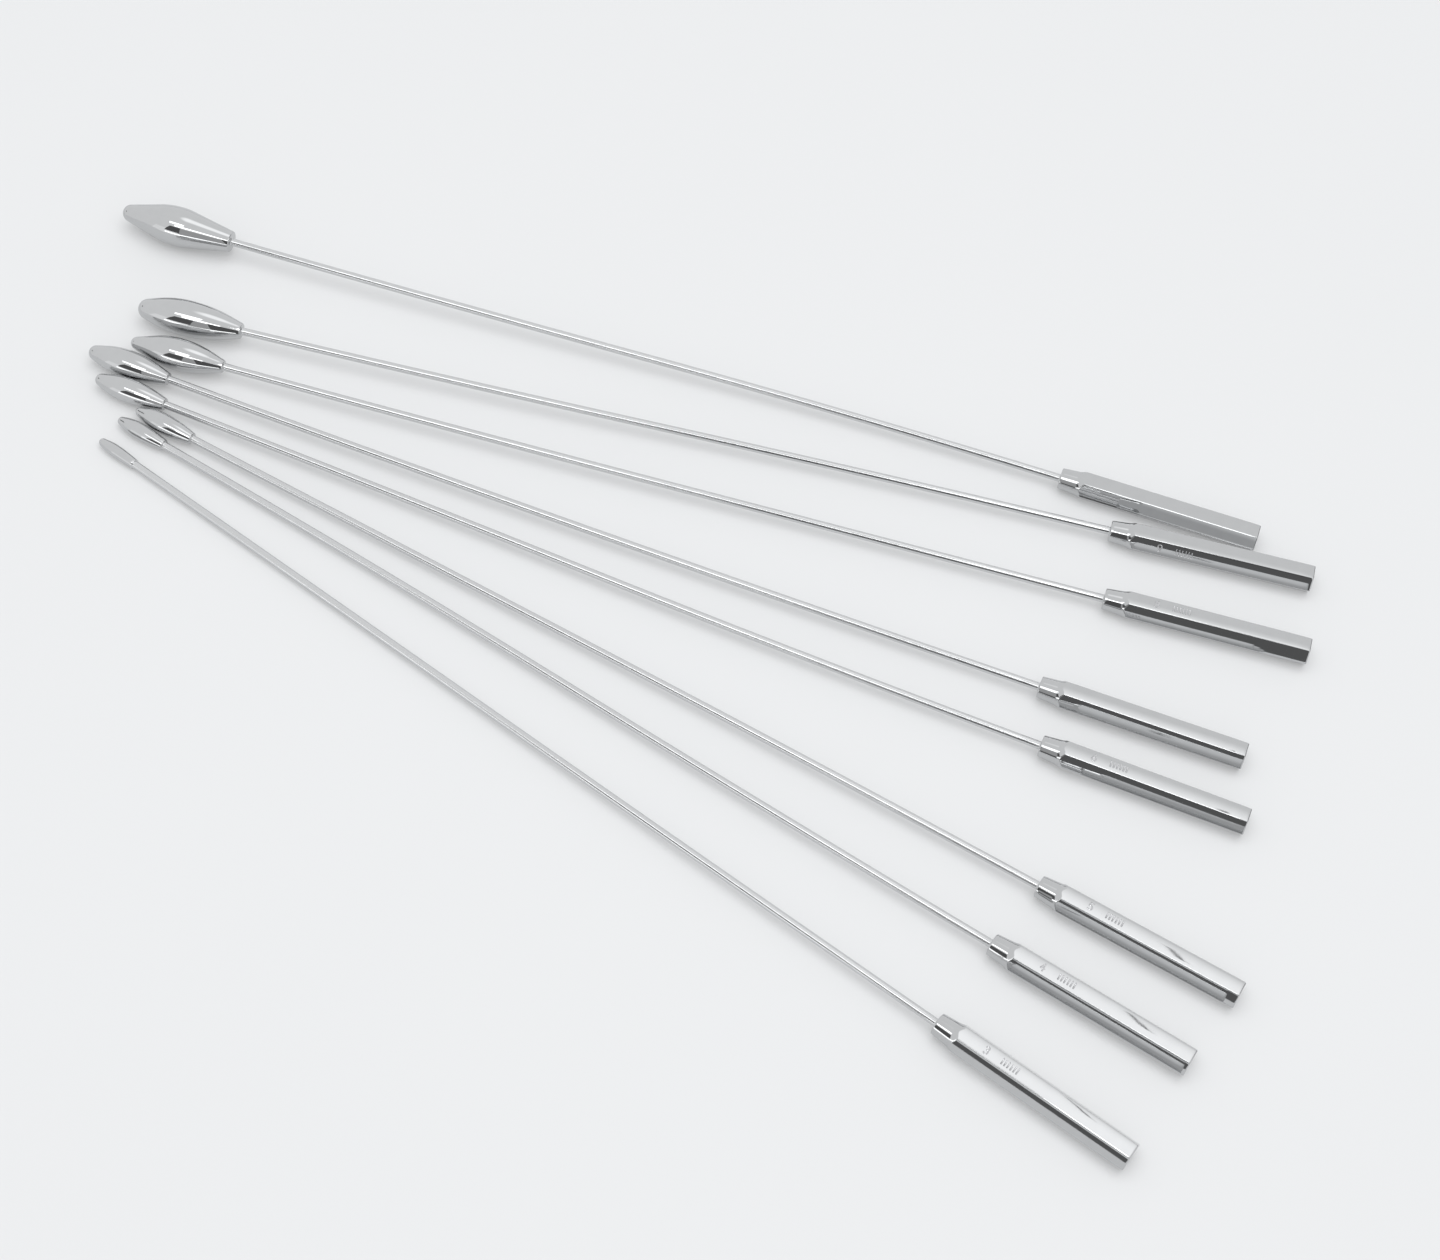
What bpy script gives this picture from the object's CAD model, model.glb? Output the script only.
import math
from collections import namedtuple

import bmesh
import bpy
import numpy as np
from mathutils import Matrix, Vector


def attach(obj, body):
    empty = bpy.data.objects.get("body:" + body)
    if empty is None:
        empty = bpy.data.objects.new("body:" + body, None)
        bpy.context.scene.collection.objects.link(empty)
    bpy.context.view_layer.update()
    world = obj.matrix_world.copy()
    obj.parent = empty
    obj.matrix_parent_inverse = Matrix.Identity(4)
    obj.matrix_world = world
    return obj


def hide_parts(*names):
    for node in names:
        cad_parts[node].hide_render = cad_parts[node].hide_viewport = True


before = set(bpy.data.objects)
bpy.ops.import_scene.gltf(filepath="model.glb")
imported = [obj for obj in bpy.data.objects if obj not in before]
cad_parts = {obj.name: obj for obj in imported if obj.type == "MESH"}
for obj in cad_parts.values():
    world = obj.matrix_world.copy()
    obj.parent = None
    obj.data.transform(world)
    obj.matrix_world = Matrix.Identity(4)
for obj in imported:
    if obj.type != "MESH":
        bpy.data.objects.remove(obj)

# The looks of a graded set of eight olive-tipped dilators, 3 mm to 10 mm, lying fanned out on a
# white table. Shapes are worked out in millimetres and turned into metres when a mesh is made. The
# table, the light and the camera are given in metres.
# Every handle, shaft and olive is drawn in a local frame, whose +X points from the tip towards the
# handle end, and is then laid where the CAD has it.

MM = 0.001
QUARTER_TURN = math.pi / 2
UP = Vector((0.0, 0.0, 1.0))
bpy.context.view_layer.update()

# ---------------------------------------------------------------- sizes shared by the set

TOTAL_LENGTH = 292.0
HANDLE_LENGTH = 49.2
ACROSS_FLATS = 6.35
HALF_HEIGHT = ACROSS_FLATS / 2
SHAFT_RADIUS = 0.95

# The hexagonal bar. Polishing has rolled its last few millimetres off towards the end face.
LONG_EDGE_ROUND = 0.28
END_EDGE_ROUND = 0.30
END_ROLL_LENGTH = 3.0
END_ROLL_DROP = 0.03

# The turned neck: a slight cone that runs out through the flats in a hollow. The runout crosses the
# flats between NECK_FINE_START and NECK_FINE_END behind the front face, and has close rings there.
NECK_FRONT_RADIUS = 2.55
NECK_CONE_LENGTH = 5.0
NECK_CONE_RADIUS = 2.99
NECK_RUNOUT_LENGTH = 1.4
NECK_RUNOUT_RADIUS = 4.0
NECK_HOLLOW_ROUND = 3.5
NECK_RIM_ROUND = 0.3
NECK_EDGE_SOFTNESS = 0.02
NECK_FINE_START = 3.8
NECK_FINE_END = 6.4

OLIVE_BASE_LENGTH = 3.4
OLIVE_LENGTH_PER_DIAMETER = 2.56
OLIVE_RIM_ROUND = 0.35

# The braze at each end of a shaft, and how far the drawn shaft goes on into the pieces it joins.
BRAZE_FILLET = 0.28
SEAT_IN_HANDLE = 3.0
SEAT_IN_OLIVE = 1.0

# The stamped number behind the front face, and two groups of plain ticks behind it. At its ends a
# stroke narrows to STROKE_END_SHARE of its width over STROKE_END_REACH.
STAMP_HEIGHT = 1.8
STAMP_CENTRE = 12.3
STAMP_ADVANCE = 0.78
STAMP_CELL_WIDTH = 0.6
STAMP_GROOVE_RADIUS = 0.18
STROKE_END_REACH = 0.9 * STAMP_GROOVE_RADIUS
STROKE_END_SHARE = 0.45
TICK_GROUPS = (16.3, 18.6)
TICKS_IN_GROUP = 3
TICK_SPACING = 0.75
TICK_HEIGHT = 1.4

# Points round each section, and rings along each stretch.
OLIVE_SIDES = 72
SHAFT_SIDES = 32
CUTTER_SIDES = 10
FLAT_STEPS = 8
CORNER_STEPS = 7
EDGE_STEPS = 6
NECK_STEPS = 7
NECK_FINE_STEPS = 26
BAR_STEPS = 12
NOSE_STEPS = 12
BELLY_STEPS = 18
FLANK_STEPS = 4
OLIVE_RIM_STEPS = 5
BEND_STEPS = 24
OVAL_STEPS = 28
ARC_STEPS = 22

# One ring inside each flat face: its radius on the handle's front and on the olive's base, and its
# inset from the edge on the handle's end. An edge sharper than SHARP_EDGE degrees is not smoothed.
FRONT_FACE_RING = SHAFT_RADIUS + 0.5
OLIVE_BASE_RING = SHAFT_RADIUS * 0.6
END_FACE_INSET = HALF_HEIGHT * 0.6
SHARP_EDGE = 32

# The flats of the hexagon by the direction of their normal, in degrees from +Y towards +Z.
FAR_FLANK = 30
TOP_FLAT = 90
NEAR_FLANK = 150

# An olive's outline: nose ball, straight flank, belly arc, and the same back to the base.
# fullness is 1 where the belly arc takes up the whole flank, and less where more of it is straight.
Olive = namedtuple("Olive", "nose_radius belly_share front_fullness rear_fullness base_radius")

# Where an instrument lies: the middle of the handle's end, the handle's direction in degrees from
# +X, how far each half of the shaft turns in plan, and the flat that carries the stamp.
Lie = namedtuple("Lie", "end_x end_y direction first_turn second_turn stamp_face")

OLIVES = {
    3: Olive(1.0, 0.45, 0.90, 0.90, 1.20),
    4: Olive(1.1, 0.43, 0.95, 0.90, 1.35),
    5: Olive(1.3, 0.45, 0.90, 0.90, 1.45),
    6: Olive(1.6, 0.45, 0.90, 0.90, 1.50),
    7: Olive(1.9, 0.47, 0.90, 0.90, 1.50),
    8: Olive(1.6, 0.50, 0.80, 0.90, 1.50),
    9: Olive(2.6, 0.46, 0.95, 0.95, 1.90),
    10: Olive(2.2, 0.50, 0.65, 0.40, 2.60),
}

LIES = {
    3: Lie(151.0, -80.75, -13.4, -0.75, 0.50, TOP_FLAT),
    4: Lie(156.0, -55.25, -9.8, -1.25, 2.25, TOP_FLAT),
    5: Lie(161.0, -35.75, -7.6, 0.90, 0.25, TOP_FLAT),
    6: Lie(150.0, 5.75, 1.4, -1.80, 0.75, TOP_FLAT),
    7: Lie(144.5, 21.75, 3.0, -0.70, -0.75, FAR_FLANK),
    8: Lie(150.0, 55.25, 7.8, 0.25, -1.00, TOP_FLAT),
    9: Lie(145.0, 75.25, 9.0, 1.75, -1.50, NEAR_FLANK),
    10: Lie(129.5, 80.75, 4.4, 3.00, -1.50, FAR_FLANK),
}

# How much polishing has crowned each handle's flats, as the tilt of the surface at a flat's edge,
# and how far it has leant the near flank upwards, or downwards where negative, both in degrees. A
# near flank that is not listed does not lean.
CROWN = {3: 3.0, 4: 2.4, 5: 2.4, 6: 2.2, 7: 2.6, 8: 2.6, 9: 2.6, 10: 2.0}
FLANK_LEAN = {3: 2.4, 4: 1.8, 5: 1.5, 9: -0.5, 10: -5.2}

# Stick figures for the digits in a cell 1 high and 0.6 wide. A line is x, y to x, y, an arc is
# centre x, centre y, radius, start angle and end angle, and an oval is centre x, centre y, half
# width and half height.
DIGITS = {
    "0": (("oval", 0.30, 0.50, 0.27, 0.50),),
    "1": (("line", 0.30, 0.0, 0.30, 1.0), ("line", 0.30, 1.0, 0.12, 0.82)),
    "3": (("arc", 0.28, 0.75, 0.23, -90, 150), ("arc", 0.28, 0.26, 0.26, -150, 90)),
    "4": (
        ("line", 0.42, 0.0, 0.42, 1.0),
        ("line", 0.42, 1.0, 0.05, 0.33),
        ("line", 0.05, 0.33, 0.58, 0.33),
    ),
    "5": (
        ("line", 0.52, 1.0, 0.13, 1.0),
        ("line", 0.13, 1.0, 0.10, 0.55),
        ("arc", 0.27, 0.31, 0.29, -140, 125),
    ),
    "6": (("arc", 0.30, 0.28, 0.27, 0, 360), ("line", 0.05, 0.38, 0.42, 1.0)),
    "7": (("line", 0.05, 1.0, 0.56, 1.0), ("line", 0.56, 1.0, 0.22, 0.0)),
    "8": (("arc", 0.30, 0.76, 0.22, 0, 360), ("arc", 0.30, 0.27, 0.27, 0, 360)),
    "9": (("arc", 0.30, 0.72, 0.27, 0, 360), ("line", 0.55, 0.62, 0.22, 0.0)),
}


# ---------------------------------------------------------------- mesh helpers


def mesh_object(name, points, faces):
    """A smooth-shaded object from points in millimetres."""
    mesh = bpy.data.meshes.new(name)
    mesh.from_pydata([Vector(p) * MM for p in points], [], faces)
    mesh.update()
    mesh.shade_smooth()
    piece = bpy.data.objects.new(name, mesh)
    bpy.context.scene.collection.objects.link(piece)
    return piece


def skin(rings, closed_loop=False):
    """Points and faces over rings of equal length, closed by a fan over each end ring."""
    count = len(rings[0])
    points = [p for ring in rings for p in ring]
    faces = []
    pairs = len(rings) if closed_loop else len(rings) - 1
    for i in range(pairs):
        a = i * count
        b = ((i + 1) % len(rings)) * count
        for j in range(count):
            k = (j + 1) % count
            faces.append((a + j, b + j, b + k, a + k))
    if not closed_loop:
        for first, flip in ((0, False), ((len(rings) - 1) * count, True)):
            middle = len(points)
            points.append(np.mean(rings[first // count], axis=0))
            for j in range(count):
                a = first + j
                b = first + (j + 1) % count
                faces.append((middle, b, a) if flip else (middle, a, b))
    return points, faces


def section_ring(middle, side, up, radius, angles):
    """A ring of points about a middle, in the plane of two unit vectors."""
    return [np.array(middle + (side * math.cos(a) + up * math.sin(a)) * radius) for a in angles]


def outward(piece):
    """Makes all normals point out."""
    work = bmesh.new()
    work.from_mesh(piece.data)
    bmesh.ops.recalc_face_normals(work, faces=work.faces)
    work.to_mesh(piece.data)
    work.free()


def steps(start, end, count):
    """count values after start, up to and including end."""
    return [start + (end - start) * (i + 1) / count for i in range(count)]


def unit_2d(angle):
    """Unit vector at an angle in radians."""
    return np.array([math.cos(angle), math.sin(angle)])


def around(count, offset=0.0):
    """Angles of count points round a full turn, moved on by a share of one step."""
    return [2 * math.pi * (j + offset) / count for j in range(count)]


def plan_direction(plan_angle, climb=0.0):
    """Unit vector from the handle towards the tip, for angles in degrees."""
    plan = math.radians(plan_angle)
    rise = math.radians(climb)
    level = math.cos(rise)
    return Vector((-math.cos(plan) * level, -math.sin(plan) * level, math.sin(rise)))


def lay(piece, origin, plan_angle):
    """Puts a locally drawn piece at a point in millimetres, with its +X at an angle in plan."""
    turn = Matrix.Rotation(math.radians(plan_angle), 4, "Z")
    piece.matrix_world = Matrix.Translation(origin * MM) @ turn


# ---------------------------------------------------------------- handle


def hexagon_section(crown, lean):
    """Angle and radius of points round the bar: six slightly crowned flats and six rounded edges."""
    flat_half = (HALF_HEIGHT - LONG_EDGE_ROUND) * math.tan(math.radians(30))
    edge_tilt = math.radians(crown)
    bow = flat_half / math.sin(edge_tilt)
    flats = []
    for face in range(6):
        square_on = TOP_FLAT + 60 * face
        normal_angle = math.radians(square_on - (lean if square_on == NEAR_FLANK else 0.0))
        centre = HALF_HEIGHT * unit_2d(math.radians(square_on))
        normal = unit_2d(normal_angle)
        along = np.array([-normal[1], normal[0]])
        flat = []
        for i in range(FLAT_STEPS + 1):
            tilt = edge_tilt * (2 * i / FLAT_STEPS - 1)
            flat.append(centre + normal * bow * (math.cos(tilt) - 1) + along * bow * math.sin(tilt))
        flats.append((normal_angle, flat))
    points = []
    for (angle, flat), (next_angle, next_flat) in zip(flats, flats[1:] + flats[:1]):
        points += flat
        start = angle + edge_tilt
        swing = (next_angle - angle) % (2 * math.pi) - 2 * edge_tilt
        turns = [start + swing * i / CORNER_STEPS for i in range(CORNER_STEPS + 1)]
        arc = [LONG_EDGE_ROUND * unit_2d(turn) for turn in turns]
        miss = next_flat[0] - flat[-1] - (arc[-1] - arc[0])
        for i in range(1, CORNER_STEPS):
            points.append(flat[-1] + arc[i] - arc[0] + miss * i / CORNER_STEPS)
    section = np.array(points)
    return np.arctan2(section[:, 1], section[:, 0]), np.hypot(section[:, 0], section[:, 1])


def neck_radius(s):
    """Radius of the lathe's path at a distance behind the front face, past the rounded rim."""
    cone_slope = math.atan((NECK_CONE_RADIUS - NECK_FRONT_RADIUS) / NECK_CONE_LENGTH)
    runout_slope = math.atan((NECK_RUNOUT_RADIUS - NECK_CONE_RADIUS) / NECK_RUNOUT_LENGTH)
    inset = NECK_HOLLOW_ROUND * math.tan((runout_slope - cone_slope) / 2)
    arc_start = NECK_CONE_LENGTH - inset * math.cos(cone_slope)
    arc_end = NECK_CONE_LENGTH + inset * math.cos(runout_slope)
    if s <= arc_start:
        return NECK_FRONT_RADIUS + s * math.tan(cone_slope)
    if s >= arc_end:
        return NECK_CONE_RADIUS + (s - NECK_CONE_LENGTH) * math.tan(runout_slope)
    start_radius = NECK_FRONT_RADIUS + arc_start * math.tan(cone_slope)
    centre_s = arc_start - NECK_HOLLOW_ROUND * math.sin(cone_slope)
    centre_r = start_radius + NECK_HOLLOW_ROUND * math.cos(cone_slope)
    return centre_r - math.sqrt(NECK_HOLLOW_ROUND**2 - (s - centre_s) ** 2)


def handle_stations():
    """Distance behind the front face, inset, and limiting radius of each ring of the handle."""
    rings = [(0.0, 0.0, FRONT_FACE_RING)]
    rim = NECK_RIM_ROUND
    for a in [0.0] + steps(0.0, QUARTER_TURN, EDGE_STEPS):
        s = rim * (1 - math.cos(a))
        rings.append((s, 0.0, neck_radius(s) - rim * (1 - math.sin(a))))
    neck = steps(rim, NECK_FINE_START, NECK_STEPS)
    neck += steps(NECK_FINE_START, NECK_FINE_END, NECK_FINE_STEPS)
    for s in neck:
        rings.append((s, 0.0, neck_radius(s)))
    roll_start = HANDLE_LENGTH - END_ROLL_LENGTH
    for s in steps(NECK_FINE_END, roll_start, BAR_STEPS):
        rings.append((s, 0.0, None))
    for part in steps(0.0, 1.0, EDGE_STEPS):
        s = roll_start + (END_ROLL_LENGTH - END_EDGE_ROUND) * part
        rings.append((s, END_ROLL_DROP * part**2, None))
    for a in steps(0.0, QUARTER_TURN, EDGE_STEPS):
        s = HANDLE_LENGTH - END_EDGE_ROUND * (1 - math.sin(a))
        rings.append((s, END_ROLL_DROP + END_EDGE_ROUND * (1 - math.cos(a)), None))
    rings.append((HANDLE_LENGTH, END_FACE_INSET, None))
    return rings


def handle_blank(size):
    """The bar with its neck turned down. Where the two meet, the smaller radius wins, softly."""
    angles, bar = hexagon_section(CROWN[size], FLANK_LEAN.get(size, 0.0))
    rings = []
    for s, inset, limit in handle_stations():
        radii = bar - inset
        if limit is not None:
            apart = np.sqrt((radii - limit) ** 2 + NECK_EDGE_SOFTNESS**2)
            radii = (radii + limit - apart) / 2
        rings.append([np.array([s, *(r * unit_2d(a))]) for a, r in zip(angles, radii)])
    return mesh_object(f"handle_{size}mm_visual", *skin(rings))


def groove(path):
    """A round-bottomed cutter along a path of 2-D points in the stamp plane."""
    rings = []
    closed = path[0] == path[-1]
    line = [Vector((p[0], p[1], 0.0)) for p in (path[:-1] if closed else path)]
    last = len(line) - 1
    for i, point in enumerate(line):
        before = line[i - 1] if i > 0 or closed else line[i]
        after = line[(i + 1) % len(line)] if i < last or closed else line[i]
        along = (after - before).normalized()
        across = Vector((-along.y, along.x, 0.0))
        spread = [(1.0, point)]
        if not closed and i == 0:
            spread.insert(0, (STROKE_END_SHARE, point - along * STROKE_END_REACH))
        if not closed and i == last:
            spread.append((STROKE_END_SHARE, point + along * STROKE_END_REACH))
        for share, middle in spread:
            radius = STAMP_GROOVE_RADIUS * share
            rings.append(section_ring(middle, across, UP, radius, around(CUTTER_SIDES, 0.5)))
    return skin(rings, closed_loop=closed)


def stroke_path(kind, x, y, *rest):
    """One stroke of a digit as points in its cell. A whole ring ends on its first point."""
    if kind == "line":
        return [(x, y), rest]
    if kind == "oval":
        half_width, half_height = rest
        turns = around(OVAL_STEPS)
    else:
        half_width, start, end = rest
        half_height = half_width
        step = (end - start) / ARC_STEPS
        turns = [math.radians(start + step * i) for i in range(ARC_STEPS + 1)]
        if end - start == 360:
            turns.pop()
    path = [(x + half_width * math.cos(a), y + half_height * math.sin(a)) for a in turns]
    if kind == "oval" or end - start == 360:
        path.append(path[0])
    return path


def stamp_paths(size):
    """The strokes of the size number and the tick marks, as paths in the stamp plane."""
    paths = []
    digits = str(size)
    width = STAMP_HEIGHT * (STAMP_ADVANCE * (len(digits) - 1) + STAMP_CELL_WIDTH)
    for place, digit in enumerate(digits):
        left = STAMP_CENTRE - width / 2 + place * STAMP_ADVANCE * STAMP_HEIGHT
        for stroke in DIGITS[digit]:
            path = stroke_path(*stroke)
            paths.append([(left + x * STAMP_HEIGHT, (y - 0.5) * STAMP_HEIGHT) for x, y in path])
    for group_start in TICK_GROUPS:
        for tick in range(TICKS_IN_GROUP):
            x = group_start + tick * TICK_SPACING
            paths.append([(x, -TICK_HEIGHT / 2), (x, TICK_HEIGHT / 2)])
    return paths


def engrave(handle, size):
    """Cuts the stamp into one flat of the handle."""
    for path in stamp_paths(size):
        cutter = mesh_object("stamp_cutter", *groove(path))
        outward(cutter)
        cutter.data.materials.append(groove_steel)
        turn = Matrix.Rotation(math.radians(LIES[size].stamp_face - TOP_FLAT), 4, "X")
        cutter.matrix_world = turn @ Matrix.Translation((0, 0, HALF_HEIGHT * MM))
        cut = handle.modifiers.new("stamp", "BOOLEAN")
        cut.operation = "DIFFERENCE"
        cut.solver = "EXACT"
        cut.material_mode = "TRANSFER"
        cut.object = cutter
    bpy.context.view_layer.update()
    graph = bpy.context.evaluated_depsgraph_get()
    mesh = bpy.data.meshes.new_from_object(handle.evaluated_get(graph))
    cutters = [m.object for m in handle.modifiers]
    handle.modifiers.clear()
    handle.data = mesh
    for cutter in cutters:
        bpy.data.objects.remove(cutter)


def make_handle(size, front):
    handle = handle_blank(size)
    outward(handle)
    handle.data.materials.append(handle_steel)
    engrave(handle, size)
    handle.data.set_sharp_from_angle(angle=math.radians(SHARP_EDGE))
    lay(handle, front, LIES[size].direction)
    return handle


# ---------------------------------------------------------------- olive


def olive_length(size):
    return OLIVE_BASE_LENGTH + OLIVE_LENGTH_PER_DIAMETER * size


def outer_tangent(centre_a, radius_a, centre_b, radius_b):
    """Where the line that touches two circles from above meets each of them."""
    between = centre_b - centre_a
    along = between / np.hypot(*between)
    lean = math.asin((radius_a - radius_b) / np.hypot(*between))
    normal = along * math.sin(lean) + np.array([-along[1], along[0]]) * math.cos(lean)
    return centre_a + normal * radius_a, centre_b + normal * radius_b


def arc_points(centre, radius, start, end, count):
    """Points after start, up to and including end, on the short arc between them."""
    a = math.atan2(*(start - centre)[::-1])
    b = math.atan2(*(end - centre)[::-1])
    return [centre + radius * unit_2d(turn) for turn in steps(a, b, count)]


def olive_outline(size):
    """Distance from the apex and radius, along the olive from the apex to its base."""
    form = OLIVES[size]
    length = olive_length(size)
    half = size / 2
    belly_x = form.belly_share * length
    rear_run = length - belly_x
    nose = form.nose_radius
    drop = half - form.base_radius
    full_front_radius = ((belly_x - nose) ** 2 + half**2 - nose**2) / (2 * (half - nose))
    full_rear_radius = (rear_run**2 + drop**2) / (2 * drop)
    front_radius = form.front_fullness * full_front_radius
    rear_radius = form.rear_fullness * full_rear_radius

    apex = np.array([0.0, 0.0])
    belly = np.array([belly_x, half])
    base_edge = np.array([length, form.base_radius])
    nose_centre = np.array([nose, 0.0])
    front_centre = belly - np.array([0.0, front_radius])
    rear_centre = belly - np.array([0.0, rear_radius])
    nose_end, front_start = outer_tangent(nose_centre, nose, front_centre, front_radius)
    rear_end = outer_tangent(rear_centre, rear_radius, base_edge, 0.0)[0]

    back = (rear_end - base_edge) / np.hypot(*(rear_end - base_edge))
    down = np.array([0.0, -1.0])
    half_angle = math.acos(float(back @ down)) / 2
    inset = OLIVE_RIM_ROUND / math.tan(half_angle)
    bisector = (back + down) / np.hypot(*(back + down))
    rim_centre = base_edge + bisector * OLIVE_RIM_ROUND / math.sin(half_angle)
    rim_start = base_edge + back * inset
    rim_end = base_edge + down * inset

    outline = arc_points(nose_centre, nose, apex, nose_end, NOSE_STEPS)
    outline += [nose_end + (front_start - nose_end) * t for t in steps(0, 1, FLANK_STEPS)]
    outline += arc_points(front_centre, front_radius, front_start, belly, BELLY_STEPS)
    outline += arc_points(rear_centre, rear_radius, belly, rear_end, BELLY_STEPS)
    outline += [rear_end + (rim_start - rear_end) * t for t in steps(0, 1, FLANK_STEPS)]
    outline += arc_points(rim_centre, OLIVE_RIM_ROUND, rim_start, rim_end, OLIVE_RIM_STEPS)
    outline.append(np.array([length, OLIVE_BASE_RING]))
    return outline


def make_olive(size, apex, plan_angle):
    turns = around(OLIVE_SIDES)
    rings = [[np.array([x, *(r * unit_2d(a))]) for a in turns] for x, r in olive_outline(size)]
    olive = mesh_object(f"olive_{size}mm_visual", *skin(rings))
    outward(olive)
    olive.data.materials.append(olive_steel)
    lay(olive, apex, plan_angle)
    return olive


# ---------------------------------------------------------------- shaft


def shaft_course(size):
    """The front of the handle, the line of the shaft's free part, and where the olive starts."""
    lie = LIES[size]
    free = TOTAL_LENGTH - HANDLE_LENGTH - olive_length(size)
    climb = math.degrees(2 * (size / 2 - HALF_HEIGHT) / free)
    last_angle = lie.direction + lie.first_turn + lie.second_turn
    headings = [
        plan_direction(lie.direction),
        plan_direction(lie.direction + lie.first_turn, climb),
        plan_direction(last_angle),
    ]
    front = Vector((lie.end_x, lie.end_y, HALF_HEIGHT)) + headings[0] * HANDLE_LENGTH
    line = [(front, headings[0])]
    for before, after in zip(headings, headings[1:]):
        turn = before.angle(after)
        radius = free / 2 / turn
        inward = (after - before * before.dot(after)).normalized()
        start = line[-1][0]
        for a in steps(0.0, turn, BEND_STEPS):
            point = start + before * radius * math.sin(a) + inward * radius * (1 - math.cos(a))
            line.append((point, before * math.cos(a) + inward * math.sin(a)))
    return front, line, last_angle


def make_shaft(size, front, line):
    """A round rod along its line, with a small braze fillet at the handle and at the olive."""
    turns = steps(0, QUARTER_TURN, EDGE_STEPS)
    fillet = [(BRAZE_FILLET * (1 - math.cos(a)), BRAZE_FILLET * (1 - math.sin(a))) for a in turns]
    start, heading = line[0]
    stations = [(start - heading * SEAT_IN_HANDLE, heading, 0.0)]
    stations.append((start, heading, BRAZE_FILLET))
    stations += [(start + heading * ahead, heading, grow) for ahead, grow in fillet]
    stations += [(point, heading, 0.0) for point, heading in line[1:-1]]
    end, heading = line[-1]
    stations += [(end - heading * ahead, heading, grow) for ahead, grow in reversed(fillet)]
    stations.append((end, heading, BRAZE_FILLET))
    stations.append((end + heading * SEAT_IN_OLIVE, heading, 0.0))
    to_local = Matrix.Rotation(-math.radians(LIES[size].direction), 4, "Z")
    rings = []
    for point, heading, grow in stations:
        middle = to_local @ (point - front)
        along = to_local @ heading
        side = along.cross(UP).normalized()
        up = side.cross(along)
        rings.append(section_ring(middle, side, up, SHAFT_RADIUS + grow, around(SHAFT_SIDES)))
    shaft = mesh_object(f"shaft_{size}mm_visual", *skin(rings))
    outward(shaft)
    shaft.data.materials.append(shaft_steel)
    lay(shaft, front, LIES[size].direction)
    return shaft


# ---------------------------------------------------------------- materials


# Noise scales are per metre and depths are metres. The polishing lines are grain drawn out along the
# piece. A range is the part of a noise's values over which the roughness changes.
GRAIN_SCALE = 9000.0
GRAIN_RANGE = (0.3, 0.7)
LINE_STRETCH = 0.03
LINE_DEPTH = 0.000002
WAVE_SCALE = 260.0
WAVE_DEPTH = 0.00002
WAVE_STRENGTH = 0.12
SMUDGE_SCALE = 420.0
SMUDGE_RANGE = (0.35, 0.75)
SMUDGE_ROUGHER = 2.2
SMUDGE_DARKER = 0.93
GROOVE_TONES = ((0.60, 0.60, 0.61), (0.68, 0.68, 0.69))
GROOVE_ROUGHNESS = (0.15, 0.3)
TABLE_TONES = ((0.352, 0.355, 0.358), (0.358, 0.361, 0.364))
TABLE_CLOUD_SCALE = 9.0
TABLE_GLOW = 0.26
LAMP_WHITE = (0.985, 0.992, 1.0)


class Nodes:
    """Short names for adding and joining shader nodes."""

    def __init__(self, tree):
        self.tree = tree
        tree.nodes.clear()

    def add(self, kind, inputs=(), **settings):
        node = self.tree.nodes.new(kind)
        for key, value in settings.items():
            setattr(node, key, value)
        for key, value in dict(inputs).items():
            if isinstance(value, bpy.types.NodeSocket):
                self.tree.links.new(value, node.inputs[key])
            else:
                node.inputs[key].default_value = value
        return node

    def noise(self, place, scale, detail):
        inputs = {"Vector": place, "Scale": scale, "Detail": detail}
        return self.add("ShaderNodeTexNoise", inputs).outputs["Fac"]

    def blend(self, factor, first, second):
        inputs = {"Factor": factor, 6: (*first, 1.0), 7: (*second, 1.0)}
        return self.add("ShaderNodeMix", inputs, data_type="RGBA").outputs[2]

    def bump(self, height, strength, depth, normal=None):
        inputs = {"Height": height, "Strength": strength, "Distance": depth}
        if normal is not None:
            inputs["Normal"] = normal
        return self.add("ShaderNodeBump", inputs).outputs[0]

    def remap(self, value, low, high, new_low, new_high, smooth=False):
        inputs = {0: value, 1: low, 2: high, 3: new_low, 4: new_high}
        kind = "SMOOTHSTEP" if smooth else "LINEAR"
        return self.add("ShaderNodeMapRange", inputs, interpolation_type=kind).outputs[0]


def steel(name, tone, roughness, streak):
    """Polished steel: fine polishing lines along the piece, faint waviness and hand smudges."""
    material = bpy.data.materials.new(name)
    material.use_nodes = True
    n = Nodes(material.node_tree)
    place = n.add("ShaderNodeTexCoord").outputs["Object"]
    mapping = {"Vector": place, "Scale": (LINE_STRETCH, 1.0, 1.0)}
    stretched = n.add("ShaderNodeMapping", mapping).outputs[0]
    lines = n.noise(stretched, GRAIN_SCALE, 3.0)
    waves = n.noise(place, WAVE_SCALE, 1.0)
    smudges = n.noise(place, SMUDGE_SCALE, 5.0)
    rough = n.remap(smudges, *SMUDGE_RANGE, roughness, roughness * SMUDGE_ROUGHER)
    tint = n.blend(smudges, tone, [channel * SMUDGE_DARKER for channel in tone])
    wavy = n.bump(waves, WAVE_STRENGTH, WAVE_DEPTH)
    lined = n.bump(lines, streak, LINE_DEPTH, wavy)
    shader = n.add(
        "ShaderNodeBsdfPrincipled",
        {"Base Color": tint, "Metallic": 1.0, "Roughness": rough, "Normal": lined},
    )
    n.add("ShaderNodeOutputMaterial", {"Surface": shader.outputs[0]})
    return material


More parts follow.
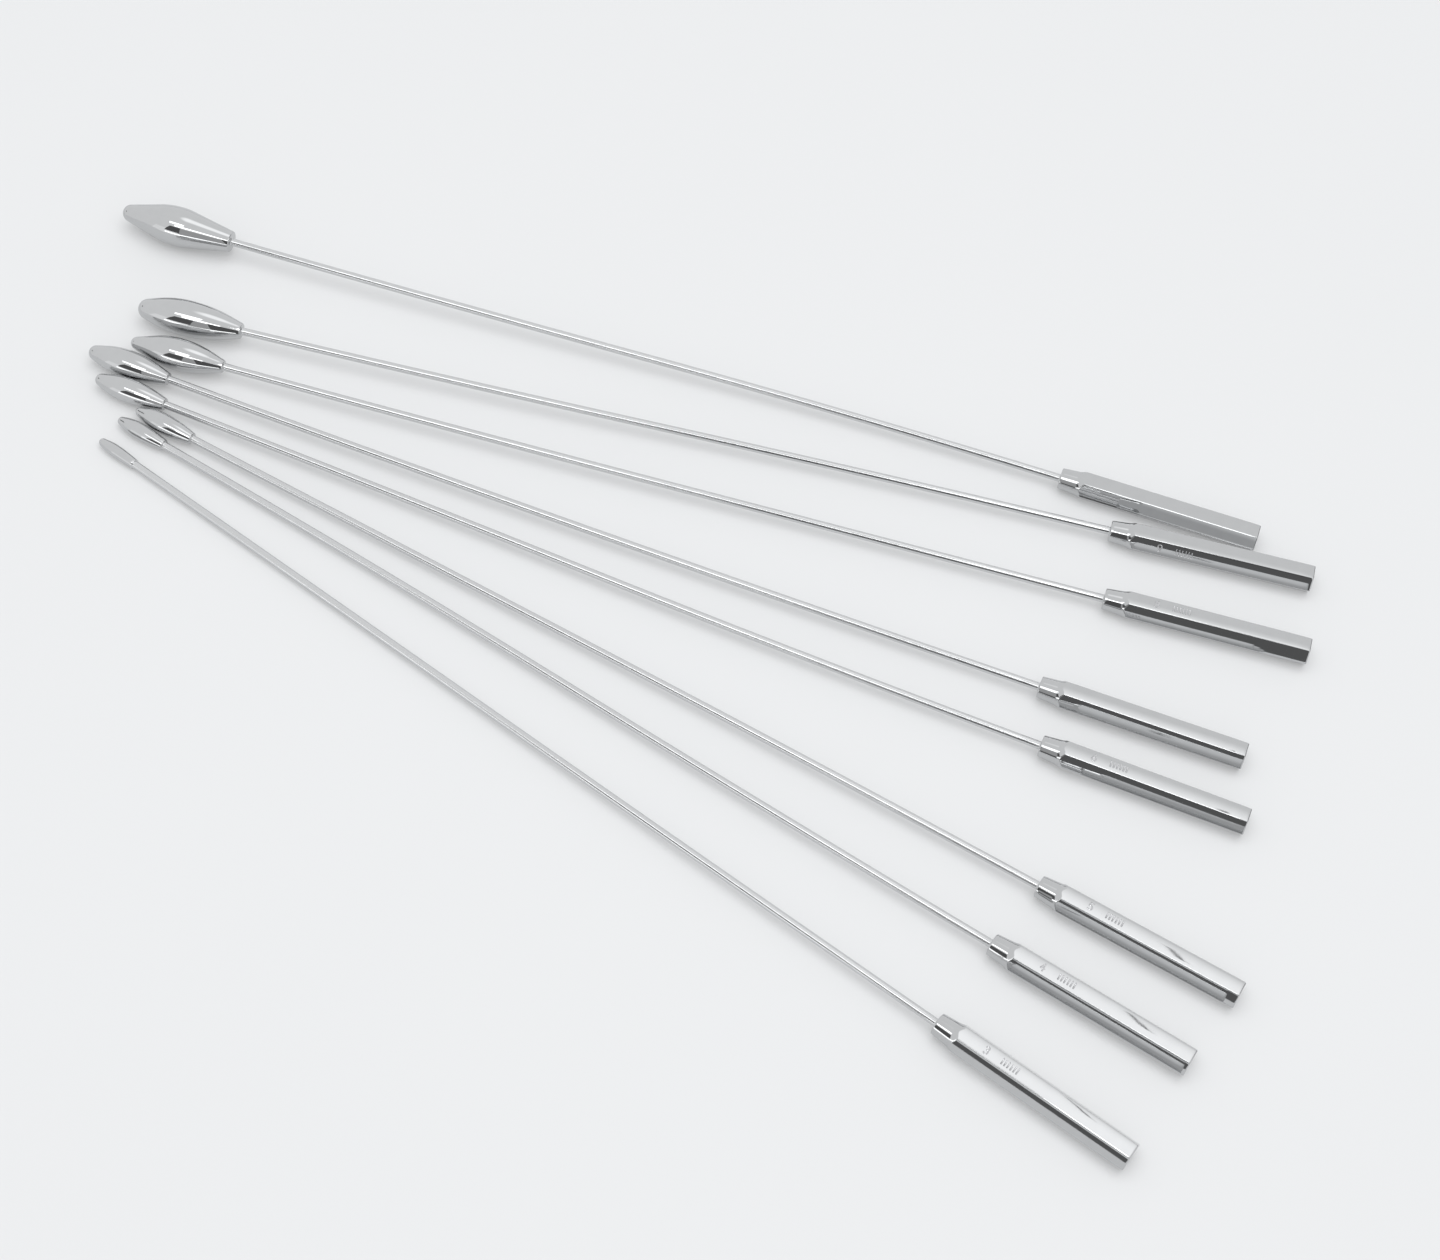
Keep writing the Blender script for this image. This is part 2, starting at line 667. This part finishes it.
def dull_groove(name):
    """The bottom of a stamped stroke, which polishing does not reach: rough, and so paler."""
    material = bpy.data.materials.new(name)
    material.use_nodes = True
    n = Nodes(material.node_tree)
    place = n.add("ShaderNodeTexCoord").outputs["Object"]
    grain = n.noise(place, GRAIN_SCALE, 3.0)
    rough = n.remap(grain, *GRAIN_RANGE, *GROOVE_ROUGHNESS)
    tint = n.blend(grain, *GROOVE_TONES)
    inputs = {"Base Color": tint, "Metallic": 1.0, "Roughness": rough}
    shader = n.add("ShaderNodeBsdfPrincipled", inputs)
    n.add("ShaderNodeOutputMaterial", {"Surface": shader.outputs[0]})
    return material


def table_white(name):
    """A matt white table. Its faint glow stands for light that scatters inside the white."""
    material = bpy.data.materials.new(name)
    material.use_nodes = True
    n = Nodes(material.node_tree)
    place = n.add("ShaderNodeTexCoord").outputs["Object"]
    cloud = n.noise(place, TABLE_CLOUD_SCALE, 2.0)
    tint = n.blend(cloud, *TABLE_TONES)
    shader = n.add(
        "ShaderNodeBsdfPrincipled",
        {
            "Base Color": tint,
            "Roughness": 0.6,
            "Specular IOR Level": 0.0,
            "Emission Color": (*LAMP_WHITE, 1.0),
            "Emission Strength": TABLE_GLOW,
        },
    )
    n.add("ShaderNodeOutputMaterial", {"Surface": shader.outputs[0]})
    return material


HANDLE_TONE = (0.55, 0.555, 0.56)
SHAFT_TONE = (0.63, 0.635, 0.64)
OLIVE_TONE = (0.57, 0.575, 0.58)

handle_steel = steel("polished_steel_handle", HANDLE_TONE, roughness=0.022, streak=0.1)
shaft_steel = steel("polished_steel_shaft", SHAFT_TONE, roughness=0.12, streak=0.02)
olive_steel = steel("polished_steel_olive", OLIVE_TONE, roughness=0.015, streak=0.05)
groove_steel = dull_groove("stamped_groove")


# ---------------------------------------------------------------- the set

for size in LIES:
    front, line, last_angle = shaft_course(size)
    base, heading = line[-1]
    made = {
        "handle": make_handle(size, front),
        "shaft": make_shaft(size, front, line),
        "olive": make_olive(size, base + heading * olive_length(size), last_angle),
    }
    for kind, piece in made.items():
        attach(piece, f"dilator_{size}mm")
        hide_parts(f"{kind}_{size}mm")


# ---------------------------------------------------------------- table, light and camera

TABLE_HALF = 12.0

# The room is an even light grey with a brighter patch of ceiling over the far side: the direction of
# the patch's middle, and the cosines of how far from it the patch is full and where it has faded.
ROOM_GREY = 0.97
CEILING_GREY = 1.60
CEILING_PATCH = (0.054, 0.304, 0.951)
PATCH_CORE = math.cos(math.radians(5))
PATCH_EDGE = math.cos(math.radians(17))

# The soft light overhead: the middle, the side and the power of its square.
SOFTBOX_PLACE = (0.05, -0.05, 1.4)
SOFTBOX_SIZE = 1.6
SOFTBOX_POWER = 20.0

# Flat cards round the set, as a photographer's flags and reflectors are, seen only in the polish:
# name, low corner, high corner and brightness. The lamps are overhead. The dark cards in front stand
# for a person leaning over the table, and the low light ones for the light that comes in beside and
# below them. The last three are dark things elsewhere in the room.
CARDS = (
    ("lamp_strip", (-0.75, -0.78, 1.5), (-0.05, -0.50, 1.5), 3.0),
    ("lamp_front", (-0.48, -1.18, 1.5), (0.50, -0.94, 1.5), 4.0),
    ("lamp_over", (0.10, -0.20, 0.5), (0.19, -0.03, 0.5), 5.0),
    ("low_near", (-0.26, -0.25, 0.028), (0.02, -0.25, 0.062), 2.4),
    ("low_light", (-0.70, -0.62, 0.00), (-0.20, -0.62, 0.34), 1.15),
    ("head", (-0.42, -0.60, 0.20), (-0.13, -0.60, 0.68), 0.12),
    ("shoulder", (-0.15, -0.61, 0.12), (0.04, -0.61, 0.66), 0.50),
    ("body", (0.04, -0.60, 0.12), (0.42, -0.60, 0.80), 0.12),
    ("lap", (-0.12, -0.58, -0.01), (0.45, -0.58, 0.14), 0.14),
    ("beam", (0.210, 0.67, 1.5), (0.218, 0.80, 1.5), 0.30),
    ("left_hand", (-0.40, -0.065, 0.122), (-0.40, 0.005, 0.158), 0.10),
    ("right_corner", (1.20, 0.40, 0.15), (1.20, 2.00, 1.30), 0.25),
)

# The camera looks from CAMERA_DISTANCE at CAMERA_AIM, turned from straight ahead by its azimuth, above
# the table by its elevation, and tilted by its roll. Angles are in degrees, the lens in millimetres.
CAMERA_AIM = (0.022, 0.00375, 0.0)
CAMERA_DISTANCE = 0.629
CAMERA_AZIMUTH = 17
CAMERA_ELEVATION = 58
CAMERA_ROLL = 7
CAMERA_LENS = 67.5


def make_table():
    half = TABLE_HALF
    corners = [(-half, -half, 0), (half, -half, 0), (half, half, 0), (-half, half, 0)]
    mesh = bpy.data.meshes.new("table")
    mesh.from_pydata(corners, [], [(0, 1, 2, 3)])
    table = bpy.data.objects.new("table", mesh)
    mesh.materials.append(table_white("white_table"))
    bpy.context.scene.collection.objects.link(table)


def make_world():
    """A pale room: even light grey, with a brighter patch of ceiling over the far side."""
    world = bpy.data.worlds.new("pale_room")
    bpy.context.scene.world = world
    world.use_nodes = True
    n = Nodes(world.node_tree)
    direction = n.add("ShaderNodeTexCoord").outputs["Generated"]
    inputs = {0: direction, 1: CEILING_PATCH}
    dot = n.add("ShaderNodeVectorMath", inputs, operation="DOT_PRODUCT")
    closeness = dot.outputs["Value"]
    glow = n.remap(closeness, PATCH_EDGE, PATCH_CORE, ROOM_GREY, CEILING_GREY, True)
    background = n.add("ShaderNodeBackground", {"Color": (*LAMP_WHITE, 1.0), "Strength": glow})
    n.add("ShaderNodeOutputWorld", {"Surface": background.outputs[0]})


def make_card(name, low, high, brightness):
    """A glowing rectangle between two corners that differ along two of the three axes."""
    wide, deep = [axis for axis in range(3) if low[axis] != high[axis]]
    second = [high[axis] if axis == wide else low[axis] for axis in range(3)]
    fourth = [high[axis] if axis == deep else low[axis] for axis in range(3)]
    mesh = bpy.data.meshes.new(name)
    mesh.from_pydata([low, second, high, fourth], [], [(0, 1, 2, 3)])
    card = bpy.data.objects.new(name, mesh)
    bpy.context.scene.collection.objects.link(card)
    material = bpy.data.materials.new(name)
    material.use_nodes = True
    n = Nodes(material.node_tree)
    glow = n.add("ShaderNodeEmission", {"Color": (*LAMP_WHITE, 1.0), "Strength": brightness})
    n.add("ShaderNodeOutputMaterial", {"Surface": glow.outputs[0]})
    mesh.materials.append(material)
    card.visible_camera = False
    card.visible_diffuse = False
    card.visible_shadow = False
    card.visible_transmission = False


def make_softbox():
    """The soft overhead light. It is not seen in the polish, where the cards take its place."""
    light = bpy.data.lights.new("softbox", "AREA")
    light.size = SOFTBOX_SIZE
    light.energy = SOFTBOX_POWER
    light.color = LAMP_WHITE
    softbox = bpy.data.objects.new("softbox", light)
    softbox.location = SOFTBOX_PLACE
    softbox.rotation_euler = Vector(SOFTBOX_PLACE).to_track_quat("Z", "Y").to_euler()
    softbox.visible_glossy = False
    bpy.context.scene.collection.objects.link(softbox)


def make_camera():
    """The camera, without shift or depth of field."""
    azimuth = math.radians(CAMERA_AZIMUTH)
    elevation = math.radians(CAMERA_ELEVATION)
    roll = math.radians(CAMERA_ROLL)
    back = Vector(
        (
            math.sin(azimuth) * math.cos(elevation),
            -math.cos(azimuth) * math.cos(elevation),
            math.sin(elevation),
        )
    )
    right = Vector((math.cos(azimuth), math.sin(azimuth), 0.0))
    up = back.cross(right)
    across = right * math.cos(roll) + up * math.sin(roll)
    upright = up * math.cos(roll) - right * math.sin(roll)
    data = bpy.data.cameras.new("camera")
    data.lens = CAMERA_LENS
    data.sensor_width = 36.0
    camera = bpy.data.objects.new("camera", data)
    turn = Matrix((across, upright, back)).transposed().to_4x4()
    camera.matrix_world = Matrix.Translation(Vector(CAMERA_AIM) + back * CAMERA_DISTANCE) @ turn
    bpy.context.scene.collection.objects.link(camera)
    bpy.context.scene.camera = camera


make_table()
make_world()
make_softbox()
for card in CARDS:
    make_card(*card)
make_camera()
bpy.context.scene.view_settings.view_transform = "Standard"
